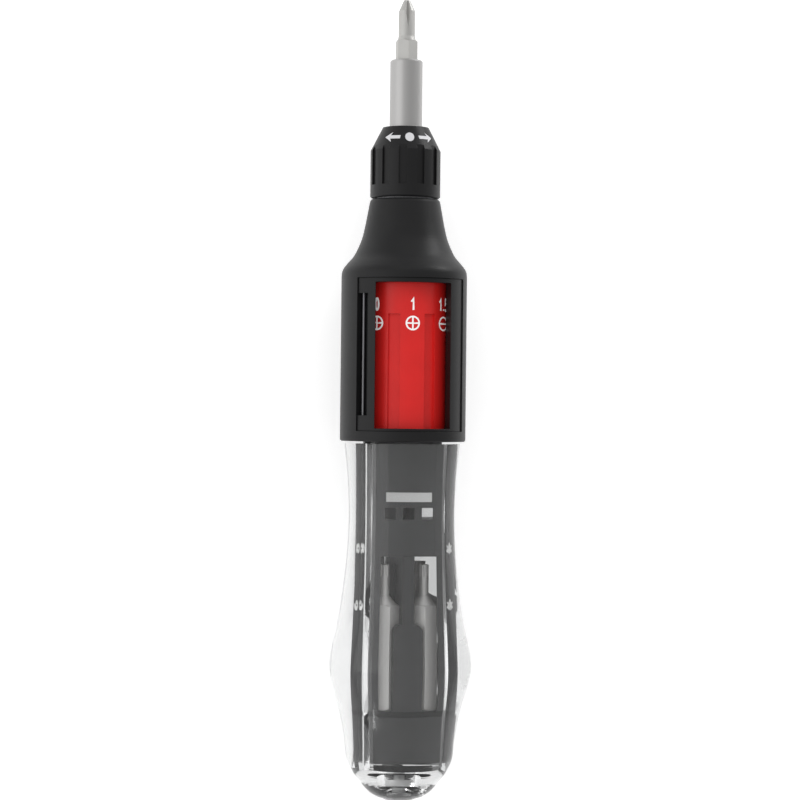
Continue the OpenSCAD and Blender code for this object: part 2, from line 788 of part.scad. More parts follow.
module housing_shell() {
    color("#2d2d2e") difference() {
        rotate_extrude() polygon(concat(
            [[0, housing_z], [housing_r - neck_chamfer, housing_z],
             [housing_r, housing_z + neck_chamfer]],
            housing_outline(),
            [[neck_r, housing_top_z - neck_chamfer], [neck_r - neck_chamfer, housing_top_z],
             [0, housing_top_z]]));
        translate([0, 0, housing_z - over]) cylinder(r = flange_r, h = flange_t + over);
        translate([0, 0, room_z - over]) cylinder(r = room_r, h = room_top_z - room_z + over);
        translate([0, 0, room_top_z - over]) cylinder(r = tube_r, h = web_t);
        translate([0, 0, tube_top_z]) cylinder(r = throat_r, h = web_t);
        translate([0, 0, neck_z]) cylinder(r = plug_r, h = neck_len + over);
        translate([0, 0, panel_z]) arc_wall(housing_r + over, panel_seat_r,
            -panel_half_angle, panel_half_angle, panel_top_z - panel_z);
        window_cut();
        at_front(-spring_angle) translate([0, -room_r + over, index_z]) rotate([90, 0, 0])
            cylinder(r = index_pin_r + pin_gap, h = panel_seat_r - room_r + 2 * over, $fn = 32);
    }
}

// Window opening, wider inside than at the panel's face.
module window_cut() {
    outer = around(panel_r, window_half_angle);
    inner = around(room_r, window_half_angle + window_undercut);
    far = 2 * outer - inner;
    near = 1.5 * inner - 0.5 * outer;
    translate([0, 0, window_z]) linear_extrude(window_top_z - window_z) polygon([
        near, far, [far[0], -2 * housing_r], [-far[0], -2 * housing_r],
        [-far[0], far[1]], [-near[0], near[1]]
    ]);
}

// Curved panel that frames the window, with the slot of the index spring at its left.
module window_panel() {
    seam_angle = panel_seam * 180 / (PI * panel_r);
    color("#333334") difference() {
        translate([0, 0, panel_z + panel_seam]) arc_wall(panel_r, panel_seat_r,
            -panel_half_angle + seam_angle, panel_half_angle - seam_angle,
            panel_top_z - panel_z - 2 * panel_seam);
        window_cut();
        translate([0, 0, slot_z])
            wedge(-panel_half_angle - 1, -slot_inner_angle, housing_r, slot_top_z - slot_z);
        at_front(-spring_angle)
            translate([-spring_wire_r, -spring_path_r - spring_wire_r, spring_z])
                cube([2 * spring_wire_r, panel_t, spring_top_z - spring_z]);
    }
}

// Straight spring wire that lies in the panel and presses the index pin inwards.
module index_spring() {
    color("silver") at_front(-spring_angle) translate([0, -spring_path_r, spring_z + panel_seam])
        cylinder(r = spring_wire_r, h = spring_top_z - spring_z - 2 * panel_seam, $fn = 32);
}

// Pin that clicks into the notches of the drum's cap, drawn pushed back.
module index_pin() {
    color("silver") at_front(-spring_angle) translate([0, -drum_r - tube_gap, index_z])
        rotate([90, 0, 0])
            cylinder(r = index_pin_r, h = panel_seat_r - pin_gap - drum_r - tube_gap, $fn = 32);
}

// Tube that the drum turns on; a bit drops into it through the slot at the back.
module guide_tube() {
    tube_z = room_z - tube_seat;
    color("#8d9094") difference() {
        translate([0, 0, tube_z]) ring(tube_r, tube_bore_r, tube_top_z - tube_z);
        translate([-loading_slot_w / 2, 0, chamber_z - 2 * tube_gap])
            cube([loading_slot_w, tube_r + over, chamber_len + 4 * tube_gap]);
        translate([0, 0, loading_z]) rotate([90, 0, 0])
            cylinder(r = loading_magnet_r, h = tube_r + over, $fn = 48);
    }
}

module loading_magnet() {
    depth = tube_r - tube_bore_r - tube_gap - magnet_set_back;
    color("#5b5d60") translate([0, -tube_bore_r - tube_gap, loading_z]) rotate([90, 0, 0])
        cylinder(r = loading_magnet_r, h = depth, $fn = 48);
}

// Square column that carries the spare bits and keys the handle.
module bit_carrier() {
    color("#3a3a3c") difference() {
        union() {
            translate([0, 0, carrier_z]) core_bar(0, housing_z - carrier_z + over);
            translate([0, 0, housing_z]) cylinder(r = flange_r, h = flange_t);
        }
        translate([0, 0, carrier_z - over]) cylinder(r = rod_tunnel_r, h = room_z);
        translate([0, 0, head_tunnel_z]) cylinder(r = head_tunnel_r, h = room_z);
        translate([0, 0, room_z - tube_seat]) cylinder(r = tube_r, h = tube_seat + over);
        translate([0, 0, grip_z]) difference() {
            core_bar(over, grip_w);
            translate([0, 0, -over]) core_bar(-grip_depth, grip_w + 2 * over);
        }
        difference() {
            through_cut(bay_half_w, bay_z, bay_h);
            carrier_block();
        }
        for (x = [-1, 1]) for (y = [-1, 1]) translate([x * spare_x, y * spare_y, bay_z])
            hex_bar(socket_af, bit_len);
        through_cut(plate_half_w, plate_z, plate_t);
        sight_windows();
        for (side = [0, 180]) rotate([0, 0, side])
            translate([-face_half_w, -core_half - over, bay_top_z])
                cube([2 * face_half_w, face_depth + over, housing_z - bay_top_z]);
    }
}

// Cut of a given half width that passes through the column from front to back.
module through_cut(half_w, low_z, h) {
    translate([-half_w, -core_half - over, low_z])
        cube([2 * half_w, 2 * (core_half + over), h]);
}

// Block and rib between the spare bits; the block's top corners are round.
module carrier_block() {
    shoulder_x = block_w / 2 - block_round;
    translate([0, core_half, bay_z]) rotate([90, 0, 0]) linear_extrude(2 * core_half) {
        translate([-block_w / 2, -over]) square([block_w, block_h - block_round + over]);
        translate([-shoulder_x, -over]) square([2 * shoulder_x, block_h + over]);
        for (side = [-1, 1]) translate([side * shoulder_x, block_h - block_round])
            circle(r = block_round, $fn = 32);
        translate([-rib_w / 2, 0]) square([rib_w, bay_h + over]);
    }
}

// See-through openings below the guide plate, parted by two posts.
module sight_windows() {
    pane_w = (2 * sight_half_w - 2 * sight_post_w) / 3;
    for (i = [-1 : 1]) translate([i * (pane_w + sight_post_w), 0, 0])
        through_cut(pane_w / 2, sight_z, sight_h);
}

module carrier_cap() {
    color("#3a3a3c") translate([0, 0, cap_z]) difference() {
        core_bar(0, cap_t);
        translate([0, 0, -over]) cylinder(r = rod_tunnel_r, h = cap_t + 2 * over);
    }
}

// Rubber ring that brakes the handle on the carrier.
module grip_ring() {
    color("#1d1d1e") translate([0, 0, grip_z]) difference() {
        core_bar(grip_stand, grip_w);
        translate([0, 0, -over]) core_bar(-grip_depth, grip_w + 2 * over);
    }
}

module rod_guide_plate() {
    color("silver") difference() {
        translate([-plate_half_w, -core_half, plate_z]) cube([2 * plate_half_w, 2 * core_half, plate_t]);
        translate([0, 0, plate_z - over]) cylinder(r = rod_tunnel_r, h = plate_t + 2 * over);
    }
}

module spare_bit(x_side, y_side) {
    color("silver") translate([x_side * spare_x, y_side * spare_y, bay_z]) star_bit();
}

module front_left_star_bit() {
    spare_bit(-1, -1);
}

module front_right_star_bit() {
    spare_bit(1, -1);
}

module rear_left_star_bit() {
    spare_bit(-1, 1);
}

module rear_right_star_bit() {
    spare_bit(1, 1);
}

// Drum with its chambers open towards the guide tube.
module drum_sleeve() {
    color("#c92a2a") translate([0, 0, drum_z]) difference() {
        cylinder(r = drum_r, h = drum_cap_z - drum_z);
        translate([0, 0, -over]) cylinder(r = drum_bore_r, h = drum_cap_z);
        translate([0, 0, drum_floor]) cylinder(r = drum_core_r, h = chamber_len + over);
        for (i = [0 : chamber_count - 1]) at_front(i * chamber_step) {
            translate([0, -chamber_r, drum_floor]) hex_bar(socket_af, chamber_len + over);
            translate([-socket_af / 2, -chamber_r, drum_floor])
                cube([socket_af, chamber_r - tube_r, chamber_len + over]);
        }
        for (i = [0 : chamber_count - 1]) at_front((i + 0.5) * chamber_step)
            translate([-flute_w / 2, -drum_r - over, -over])
                cube([flute_w, flute_depth + over, flute_top_z - drum_z + over]);
    }
}

// Cap that closes the chambers, with a notch for the index pin at each of them.
module drum_cap() {
    color("#c92a2a") translate([0, 0, drum_cap_z]) difference() {
        ring(drum_r, drum_bore_r, drum_cap_t);
        for (i = [0 : chamber_count - 1]) at_front(i * chamber_step - spring_angle)
            translate([0, -drum_r + index_pin_r, index_z - drum_cap_z]) rotate([90, 0, 0])
                cylinder(r = index_pin_r + pin_gap, h = index_pin_r + over, $fn = 32);
    }
}

// Puts a bit into one of the drum's chambers, counted from the front.
module in_chamber(index) {
    color("silver") at_front(index * chamber_step)
        translate([0, -chamber_r, chamber_z + chamber_play / 2]) children();
}

module drum_phillips_0() {
    in_chamber(-1) phillips_bit(cross_0_r, cross_0_end_r);
}

module drum_phillips_1() {
    in_chamber(0) phillips_bit(cross_1_r, cross_1_end_r);
}

module drum_slotted_15() {
    in_chamber(1) slotted_bit(slotted_15_w, slotted_15_t);
}

module drum_slotted_20() {
    in_chamber(2) slotted_bit(slotted_20_w, slotted_20_t);
}

module drum_slotted_30() {
    in_chamber(3) slotted_bit(slotted_30_w, slotted_30_t);
}

module drum_hex_15() {
    in_chamber(-2) hex_bit(hex_15_af);
}

module drum_hex_20() {
    in_chamber(-3) hex_bit(hex_20_af);
}

// Solid form of the handle, with no bore.
module handle_form() {
    rotate_extrude() polygon(concat(
        [[0, 0]],
        smooth([for (s = handle_outline_shares)
            [waist_r * s[1] + belly_rise * s[2], handle_len * s[0]]]),
        [[0, handle_len]]));
}

module handle_shell() {
    color([0.85, 0.88, 0.9, 0.4]) difference() {
        handle_form();
        translate([0, 0, end_t]) core_bar(slide_fit, handle_len);
        translate([0, 0, rod_flange_z]) cylinder(r = rod_flange_r + pocket_gap, h = end_t);
        translate([0, 0, nut_z]) cylinder(r = rod_stem_r + plug_gap, h = end_t);
        translate([0, 0, nut_z - over])
            cylinder(r = nut_af * corner_share + pocket_gap, h = nut_t + over);
        translate([0, 0, -over]) cylinder(r = end_plug_r + plug_gap, h = nut_z + over);
    }
}

// Domed plug that closes the handle's rear end over the nut.
module end_plug() {
    color([0.85, 0.88, 0.9, 0.5]) intersection() {
        handle_form();
        cylinder(r = end_plug_r, h = plug_t);
    }
}

module push_rod() {
    color("#55585c") {
        translate([0, 0, nut_z]) cylinder(r = rod_stem_r, h = rod_flange_z - nut_z);
        translate([0, 0, rod_flange_z]) cylinder(r = rod_flange_r, h = rod_flange_t);
        translate([0, 0, rod_flange_z]) cylinder(r = rod_r, h = rod_head_z - rod_flange_z);
        translate([0, 0, rod_head_z]) cylinder(r = rod_head_r, h = rod_head_len);
    }
}

module rod_magnet() {
    color("#8a8c8f") translate([0, 0, rod_tip_z - rod_magnet_len])
        cylinder(r = magnet_r, h = rod_magnet_len);
}

module rod_nut() {
    color("silver") translate([0, 0, nut_z]) difference() {
        hex_bar(nut_af, nut_t);
        translate([0, 0, -over]) cylinder(r = rod_stem_r, h = nut_t + 2 * over);
    }
}

// Rubber washer that the carrier's cap lands on when the handle is home.
module stop_washer() {
    color("#1d1d1e") translate([0, 0, end_t]) ring(washer_r, rod_tunnel_r, washer_t);
}

lay_down() driver_bit();
lay_down() nose_sleeve();
lay_down() ratchet_gear();
lay_down() sleeve_ring();
lay_down() selector_ring();
lay_down() selector_marks();
lay_down() right_pawl();
lay_down() right_pawl_spring();
lay_down() left_pawl();
lay_down() left_pawl_spring();
lay_down() housing_shell();
lay_down() window_panel();
lay_down() index_spring();
lay_down() index_pin();
lay_down() ratchet_body();
lay_down() front_bush();
lay_down() pawl_pins();
lay_down() detent_ball();
lay_down() detent_spring();
lay_down() guide_tube();
lay_down() loading_magnet();
lay_down() bit_carrier();
lay_down() carrier_cap();
lay_down() grip_ring();
lay_down() rod_guide_plate();
lay_down() front_left_star_bit();
lay_down() front_right_star_bit();
lay_down() rear_left_star_bit();
lay_down() rear_right_star_bit();
lay_down() drum_sleeve();
lay_down() drum_cap();
lay_down() drum_phillips_0();
lay_down() drum_phillips_1();
lay_down() drum_slotted_15();
lay_down() drum_slotted_20();
lay_down() drum_slotted_30();
lay_down() drum_hex_15();
lay_down() drum_hex_20();
lay_down() handle_shell();
lay_down() push_rod();
lay_down() rod_magnet();
lay_down() rod_nut();
lay_down() stop_washer();
lay_down() end_plug();
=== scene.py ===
# Looks of the pocket screwdriver: finishes, prints, light and camera.
import json
import math

import bmesh
import bpy
from mathutils import Matrix, Vector


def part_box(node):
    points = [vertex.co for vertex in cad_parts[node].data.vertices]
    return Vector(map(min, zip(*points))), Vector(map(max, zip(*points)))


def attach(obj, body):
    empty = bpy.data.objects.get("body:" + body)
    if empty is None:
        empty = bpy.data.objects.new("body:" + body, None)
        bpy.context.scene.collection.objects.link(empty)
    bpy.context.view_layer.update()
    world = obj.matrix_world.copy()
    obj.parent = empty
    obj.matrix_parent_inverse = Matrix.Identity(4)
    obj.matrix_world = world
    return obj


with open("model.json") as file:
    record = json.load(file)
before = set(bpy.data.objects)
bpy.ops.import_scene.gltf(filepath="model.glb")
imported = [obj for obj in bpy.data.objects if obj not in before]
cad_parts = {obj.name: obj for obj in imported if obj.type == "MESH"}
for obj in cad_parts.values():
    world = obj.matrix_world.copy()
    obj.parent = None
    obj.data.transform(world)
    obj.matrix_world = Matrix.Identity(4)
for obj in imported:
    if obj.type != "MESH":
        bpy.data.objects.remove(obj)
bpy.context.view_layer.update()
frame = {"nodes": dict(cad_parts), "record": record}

MM = 0.001

# Places that the frame gives: the tool's axis and ends, the drum and the column's rails.
handle_low, handle_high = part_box("handle_shell")
plug_low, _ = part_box("end_plug")
_, bit_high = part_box("driver_bit")
drum_low, drum_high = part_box("drum_sleeve")
_, cap_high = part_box("drum_cap")
core_low, core_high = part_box("carrier_cap")
AXIS_Z = (handle_low[2] + handle_high[2]) / 2
REAR_Y = plug_low[1]
TIP_Y = bit_high[1]
DRUM_R = (drum_high[0] - drum_low[0]) / 2
DRUM_TOP_Y = cap_high[1]
RAIL_EDGE_X = (core_high[0] - core_low[0]) / 2

# The photograph's view: its turn round the tool, its lean, its distance and its scale.
VIEW_TURN = math.radians(10.8)
VIEW_ROLL = math.radians(0.6)
CAMERA_DISTANCE = 520 * MM
PICTURE_PX = 800
PX_PER_MM = 4.963
PICTURE_SHIFT_PX = 3.0
SENSOR_WIDTH_MM = 36.0
CLIP_START = 1 * MM
CLIP_END = 20000 * MM

# Floor: its size and look, how far it shines fully round the tool, and where the glow ends.
FLOOR_HALF = 1500 * MM
FLOOR_TINTS = ((0.86, 0.86, 0.86), (0.88, 0.88, 0.88))
FLOOR_GRAIN = 80 * MM
FLOOR_ROUGH = 0.9
GLOW_FULL = 120 * MM
GLOW_END = 240 * MM
GLOW_STRENGTH = 0.50

# Soft boxes: place and size in metres, and power in watts.
SOFT_BOXES = {
    "left_box": ((-0.50, 0.05, 0.22), (0.45, 0.6), 0.45),
    "right_box": ((0.43, 0.40, 0.09), (0.26, 0.20), 1.1),
    "top_box": ((0.05, 0.50, 0.45), (0.5, 0.35), 0.28),
}

# Light tent: one level on the far left, another from a little right of the middle on.
TENT_LEFT_X = -0.9
TENT_RIGHT_X = 0.2
TENT_LEFT_LEVEL = 1.0
TENT_RIGHT_LEVEL = 0.60

# Finishes: the range where most of a noise's values lie, and what noise does to each look.
NOISE_LOW = 0.3
NOISE_HIGH = 0.7
PLASTIC_CLOUD_GRAIN = 6 * MM
PLASTIC_ROUGH_SHARES = (0.88, 1.12)
PLASTIC_BUMP = 0.5
METAL_ROUGH_SHARES = (0.8, 1.25)
METAL_DARK_SHARE = 0.86
METAL_MARK_DEPTH = 0.003 * MM
METAL_BUMP = 0.4
CLEAR_TINTS = ((0.79, 0.795, 0.795), (0.82, 0.825, 0.825))
CLEAR_HAZE_GRAIN = 3 * MM
CLEAR_HAZE_ROUGH = 0.03
CLEAR_WAVE_GRAIN = 5 * MM
CLEAR_WAVE_DEPTH = 0.05 * MM
CLEAR_BUMP = 0.35
CLEAR_IOR = 1.49
EDGE_SAMPLES = 4

# Sockets of the mix node that hold its two colours and its result.
MIX_DARK = 6
MIX_LIGHT = 7
MIX_RESULT = 2

# Prints: their lift over the surface, the longest edge left whole, and the cuts in others.
PRINT_LIFT = 0.02 * MM
PRINT_EDGE = 0.3 * MM
PRINT_CUTS = 2

# Numbers and signs on the drum. A drop is counted from the drum's top.
DIGIT_HEIGHT = 2.7 * MM
DIGIT_DROP = 5.5 * MM
DIGIT_LINE = 0.40 * MM
DIGIT_WIDTH_SHARE = 0.30
DIGIT_STEP_SHARE = 0.46
POINT_STEP_SHARE = 0.26
SIGN_DROP = 9.25 * MM
SIGN_R = 1.45 * MM
SIGN_LINE = 0.32 * MM
CHAMBER_COUNT = 8
CHAMBER_STEP = 2 * math.pi / CHAMBER_COUNT
# Number and sign beside each chamber, counted from the front.
CHAMBER_LABELS = {
    -3: ("2", "hex"), -2: ("1.5", "hex"), -1: ("0", "cross"), 0: ("1", "cross"),
    1: ("1.5", "slot"), 2: ("2", "slot"), 3: ("3", "slot"), 4: ("2", "cross"),
}

# Marks on the front of the column's side rails, drawn long along the tool.
RAIL_T = 2.0 * MM
RAIL_NUMBER_INSET = 0.5 * MM
RAIL_STAR_INSET = 0.95 * MM
RAIL_NUMBER_HEIGHT = 0.85 * MM
RAIL_NUMBER_LINE = 0.16 * MM
RAIL_NUMBER_STRETCH = 5.5
RAIL_STAR_R = 0.6 * MM
RAIL_STAR_STRETCH = 2
# Numbers on the left rail, each with a star opposite, and their places from the rear end.
RAIL_NUMBERS = {"6": 39 * MM, "8": 50.6 * MM}


# Node building

def new_material(name):
    """An empty material with its Principled shader and object coordinates."""
    material = bpy.data.materials.new(name)
    material.use_nodes = True
    tree = material.node_tree
    shader = tree.nodes["Principled BSDF"]
    coords = tree.nodes.new("ShaderNodeTexCoord")
    return material, tree, shader, coords.outputs["Object"]


def noise(tree, coords, grain, stretch=(1, 1, 1), detail=3):
    """Noise whose grains are that size in metres, stretched along the axes."""
    mapping = tree.nodes.new("ShaderNodeMapping")
    mapping.inputs["Scale"].default_value = [1 / (grain * s) for s in stretch]
    tree.links.new(coords, mapping.inputs["Vector"])
    texture = tree.nodes.new("ShaderNodeTexNoise")
    texture.inputs["Scale"].default_value = 1
    texture.inputs["Detail"].default_value = detail
    tree.links.new(mapping.outputs["Vector"], texture.inputs["Vector"])
    return texture.outputs["Fac"]


def spread(tree, value, low, high, out_low, out_high):
    """Maps the range of a value from low to high onto another range."""
    node = tree.nodes.new("ShaderNodeMapRange")
    node.inputs["From Min"].default_value = low
    node.inputs["From Max"].default_value = high
    node.inputs["To Min"].default_value = out_low
    node.inputs["To Max"].default_value = out_high
    tree.links.new(value, node.inputs["Value"])
    return node.outputs["Result"]


def spread_noise(tree, value, out_low, out_high):
    """Maps where most of a noise's values lie onto that range."""
    return spread(tree, value, NOISE_LOW, NOISE_HIGH, out_low, out_high)


def blend_colours(tree, value, dark, light):
    """A colour between dark and light as value goes from 0 to 1."""
    node = tree.nodes.new("ShaderNodeMix")
    node.data_type = "RGBA"
    tree.links.new(value, node.inputs["Factor"])
    node.inputs[MIX_DARK].default_value = (*dark, 1)
    node.inputs[MIX_LIGHT].default_value = (*light, 1)
    return node.outputs[MIX_RESULT]


def rounded_normal(tree, radius):
    """Edges that catch the light as if they were rounded."""
    node = tree.nodes.new("ShaderNodeBevel")
    node.samples = EDGE_SAMPLES
    node.inputs["Radius"].default_value = radius
    return node.outputs["Normal"]


def bump(tree, height, depth, strength, normal=None):
    """A normal that a height from 0 to 1 makes uneven by that depth."""
    node = tree.nodes.new("ShaderNodeBump")
    node.inputs["Strength"].default_value = strength
    node.inputs["Distance"].default_value = depth
    tree.links.new(height, node.inputs["Height"])
    if normal is not None:
        tree.links.new(normal, node.inputs["Normal"])
    return node.outputs["Normal"]


def set_surface(tree, shader, colour, rough, normal):
    """Leads colour, roughness and normal into the shader."""
    tree.links.new(colour, shader.inputs["Base Color"])
    tree.links.new(rough, shader.inputs["Roughness"])
    tree.links.new(normal, shader.inputs["Normal"])


# Materials: one for each slot of the record, and one for the print behind window and handle, given
# painted light because it lies in shade

def moulded(name, colour, rough, grain=0.12 * MM, depth=0.004 * MM, wear=0.25, edge=0.12 * MM,
            specular=0.5, glow=0):
    """Moulded plastic or rubber with a fine texture and faint cloudiness; a glow above 0 is painted
    light, the part glowing though it is no lamp.
    """
    material, tree, shader, coords = new_material(name)
    cloud = spread_noise(tree, noise(tree, coords, PLASTIC_CLOUD_GRAIN), 0, 1)
    light = [c * (1 + wear) for c in colour]
    fine = noise(tree, coords, grain, detail=2)
    low, high = PLASTIC_ROUGH_SHARES
    set_surface(tree, shader, blend_colours(tree, cloud, colour, light),
                spread_noise(tree, fine, rough * low, rough * high),
                bump(tree, fine, depth, PLASTIC_BUMP, rounded_normal(tree, edge)))
    shader.inputs["Specular IOR Level"].default_value = specular
    # Emission is painted light: a glow on a part that is no lamp; it is 0 for all but the print in
    # the shade.
    shader.inputs["Emission Color"].default_value = (1, 1, 1, 1)
    shader.inputs["Emission Strength"].default_value = glow
    return material


def metal(name, colour, rough, stretch=(1, 14, 1), grain=0.05 * MM, edge=0.08 * MM, metallic=1):
    """Metal with fine marks that run along the stretched axis."""
    material, tree, shader, coords = new_material(name)
    marks = noise(tree, coords, grain, stretch)
    dark = [c * METAL_DARK_SHARE for c in colour]
    low, high = METAL_ROUGH_SHARES
    set_surface(tree, shader, blend_colours(tree, marks, dark, colour),
                spread_noise(tree, marks, rough * low, rough * high),
                bump(tree, marks, METAL_MARK_DEPTH, METAL_BUMP, rounded_normal(tree, edge)))
    shader.inputs["Metallic"].default_value = metallic
    return material


def clear_plastic(name):
    """Polished clear plastic; light passes it without a dark shadow."""
    material, tree, shader, coords = new_material(name)
    haze = noise(tree, coords, CLEAR_HAZE_GRAIN, detail=2)
    waves = noise(tree, coords, CLEAR_WAVE_GRAIN, detail=1)
    set_surface(tree, shader, blend_colours(tree, haze, *CLEAR_TINTS),
                spread_noise(tree, haze, 0, CLEAR_HAZE_ROUGH),
                bump(tree, waves, CLEAR_WAVE_DEPTH, CLEAR_BUMP))
    shader.inputs["Transmission Weight"].default_value = 1
    shader.inputs["IOR"].default_value = CLEAR_IOR
    path = tree.nodes.new("ShaderNodeLightPath")
    see_through = tree.nodes.new("ShaderNodeBsdfTransparent")
    mix = tree.nodes.new("ShaderNodeMixShader")
    tree.links.new(path.outputs["Is Shadow Ray"], mix.inputs["Fac"])
    tree.links.new(shader.outputs["BSDF"], mix.inputs[1])
    tree.links.new(see_through.outputs["BSDF"], mix.inputs[2])
    tree.links.new(mix.outputs["Shader"], tree.nodes["Material Output"].inputs["Surface"])
    return material


def make_materials():
    """Every material by the name of its slot, and the print that lies in the shade, brightened with
    painted light.
    """
    even, crosswise = (1, 1, 1), (14, 1, 1)
    housing_black, ring_black = (0.007, 0.007, 0.0075), (0.006, 0.006, 0.0065)
    return {
        "tool_steel": metal("tool_steel", (0.51, 0.505, 0.49), 0.50, metallic=0.9),
        "star_steel": metal("star_steel", (0.98, 0.965, 0.95), 0.52, metallic=0.7),
        "nose_steel": metal("nose_steel", (0.44, 0.435, 0.43), 0.38, stretch=even),
        "dark_steel": metal("dark_steel", (0.22, 0.22, 0.23), 0.45),
        "spring_steel": metal("spring_steel", (0.70, 0.70, 0.70), 0.22),
        "plate_steel": metal("plate_steel", (1.0, 1.0, 0.99), 0.42, stretch=crosswise, metallic=0.8),
        "rod_steel": metal("rod_steel", (0.75, 0.75, 0.75), 0.35, metallic=0.8),
        "guide_aluminium": metal("guide_aluminium", (0.55, 0.56, 0.58), 0.4, stretch=even),
        "bush_brass": metal("bush_brass", (0.60, 0.43, 0.18), 0.35, stretch=even),
        "housing_plastic": moulded("housing_plastic", housing_black, 0.44, specular=0.25),
        "panel_plastic": moulded("panel_plastic", housing_black, 0.42, specular=0.24),
        "ring_plastic": moulded("ring_plastic", ring_black, 0.42, specular=0.26),
        "carrier_plastic": moulded("carrier_plastic", (0.050, 0.050, 0.051), 0.40, grain=0.3 * MM),
        "drum_red": moulded("drum_red", (0.72, 0.017, 0.015), 0.36, wear=0.10, specular=0.30),
        "white_print": moulded("white_print", (0.68, 0.68, 0.70), 0.5, wear=0.05, edge=0.02 * MM),
        # Painted light: the print in the shade behind window and handle gets a lighter colour than
        # white_print and a faint glow.
        "print_with_painted_light": moulded("print_with_painted_light", (0.88, 0.88, 0.87), 0.5, wear=0.05,
                                  edge=0.02 * MM, glow=0.2),
        "black_rubber": moulded("black_rubber", (0.012, 0.012, 0.012), 0.65),
        "clear_plastic": clear_plastic("clear_plastic"),
    }


def dress_frame(materials):
    """Gives every CAD node the material of its slot."""
    for part in frame["record"]["subparts"]:
        node = frame["nodes"][part["node"]]
        node.data.materials.clear()
        node.data.materials.append(materials[part["material_slot"]])


# Prints

def add_object(name, data):
    """A new object of the scene."""
    thing = bpy.data.objects.new(name, data)
    bpy.context.scene.collection.objects.link(thing)
    return thing


def arc(middle_x, middle_y, radius_x, radius_y, start, end, count=16):
    """Points of a round stroke between two angles in degrees."""
    angles = [math.radians(start + (end - start) * i / count) for i in range(count + 1)]
    return [(middle_x + radius_x * math.cos(a), middle_y + radius_y * math.sin(a)) for a in angles]


# Strokes of each digit, in shares of its width and height.
DIGIT_STROKE_SHARES = {
    "0": [arc(0.5, 0.5, 0.45, 0.5, 90, 450, 28)],
    "1": [[(0.12, 0.70), (0.62, 0.98), (0.62, 0)]],
    "2": [arc(0.5, 0.73, 0.45, 0.27, 165, -35) + [(0.05, 0), (0.95, 0)]],
    "3": [arc(0.45, 0.76, 0.42, 0.24, 150, -90) + arc(0.45, 0.26, 0.5, 0.26, 90, -150)],
    "5": [[(0.9, 1), (0.15, 1), (0.08, 0.52)] + arc(0.45, 0.31, 0.5, 0.31, 125, -150)],
    "6": [arc(0.85, 0.42, 0.8, 0.58, 95, 190) + arc(0.5, 0.3, 0.45, 0.3, 180, 540, 28)],
    "8": [arc(0.5, 0.76, 0.38, 0.24, -90, 270, 28), arc(0.5, 0.27, 0.46, 0.27, 90, 450, 28)],
    ".": [[(0.2, 0), (0.2, 0.13)]],
}
# Least share that a corner's width is divided by, so that sharp corners stay short.
CORNER_SHARE = 0.5


def flat_line(flat, points, line):
    """Adds a flat line of that width along the points."""
    points = [Vector(point) for point in points]
    last = len(points) - 1
    sides = []
    for i, point in enumerate(points):
        ahead = (points[min(i + 1, last)] - point).normalized()
        behind = (point - points[max(i - 1, 0)]).normalized()
        across = (ahead + behind).normalized().orthogonal() * line / 2
        if 0 < i < last:
            across /= max(CORNER_SHARE, (ahead + behind).length / 2)
        sides.append([flat.verts.new((*(point + across * s), 0)) for s in (1, -1)])
    for (left, right), (next_left, next_right) in zip(sides, sides[1:]):
        flat.faces.new((right, next_right, next_left, left))


def flat_number(text, height, line):
    """A number as flat strokes, centred, its height along Y."""
    width = height * DIGIT_WIDTH_SHARE
    steps = [height * (POINT_STEP_SHARE if sign == "." else DIGIT_STEP_SHARE) for sign in text]
    left = -(sum(steps) - steps[-1] + width) / 2
    flat = bmesh.new()
    for sign, step in zip(text, steps):
        for stroke in DIGIT_STROKE_SHARES[sign]:
            points = [(left + x * width, (y - 0.5) * (height - line)) for x, y in stroke]
            flat_line(flat, points, line)
        left += step
    return flat


def flat_bar(flat, width, height, turn=0):
    """Adds a flat bar about the middle."""
    corners = [(-width / 2, -height / 2), (width / 2, -height / 2), (width / 2, height / 2),
               (-width / 2, height / 2)]
    spin = Matrix.Rotation(turn, 3, "Z")
    flat.faces.new([flat.verts.new(spin @ Vector((x, y, 0))) for x, y in corners])


def circle_vert(flat, radius, i, count):
    """Adds point i out of a count spaced evenly round a circle."""
    angle = 2 * math.pi * i / count
    return flat.verts.new((radius * math.cos(angle), radius * math.sin(angle), 0))


def flat_ring(flat, r, line, count=40):
    """Adds a flat ring; a count of 6 makes a hexagon."""
    inner, outer = [[circle_vert(flat, radius, i, count) for i in range(count)]
                    for radius in (r - line, r)]
    for i in range(count):
        j = (i + 1) % count
        flat.faces.new((inner[i], outer[i], outer[j], inner[j]))


def flat_star(flat, r, points=6, inner_share=0.5):
    """Adds a flat star."""
    flat.faces.new([circle_vert(flat, r if i % 2 == 0 else r * inner_share, i, 2 * points)
                    for i in range(2 * points)])


def flat_sign(kind):
    """Sign of a bit: a ring with a cross or a slot, or a hexagon."""
    flat = bmesh.new()
    if kind == "hex":
        flat_ring(flat, SIGN_R, SIGN_LINE, 6)
        return flat
    flat_ring(flat, SIGN_R, SIGN_LINE)
    flat_bar(flat, 2 * (SIGN_R - SIGN_LINE), SIGN_LINE)
    if kind == "cross":
        flat_bar(flat, 2 * (SIGN_R - SIGN_LINE), SIGN_LINE, math.pi / 2)
    return flat


def finish_print(flat, name, place, body, material):
    """Moves each point of a flat print onto its surface and makes it a piece of that body."""
    bmesh.ops.triangulate(flat, faces=flat.faces)
    long_edges = [edge for edge in flat.edges if edge.calc_length() > PRINT_EDGE]
    bmesh.ops.subdivide_edges(flat, edges=long_edges, cuts=PRINT_CUTS)
    for vert in flat.verts:
        vert.co = place(vert.co.x, vert.co.y)
    mesh = bpy.data.meshes.new(name)
    flat.to_mesh(mesh)
    flat.free()
    piece = add_object(name, mesh)
    mesh.materials.append(material)
    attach(piece, body)


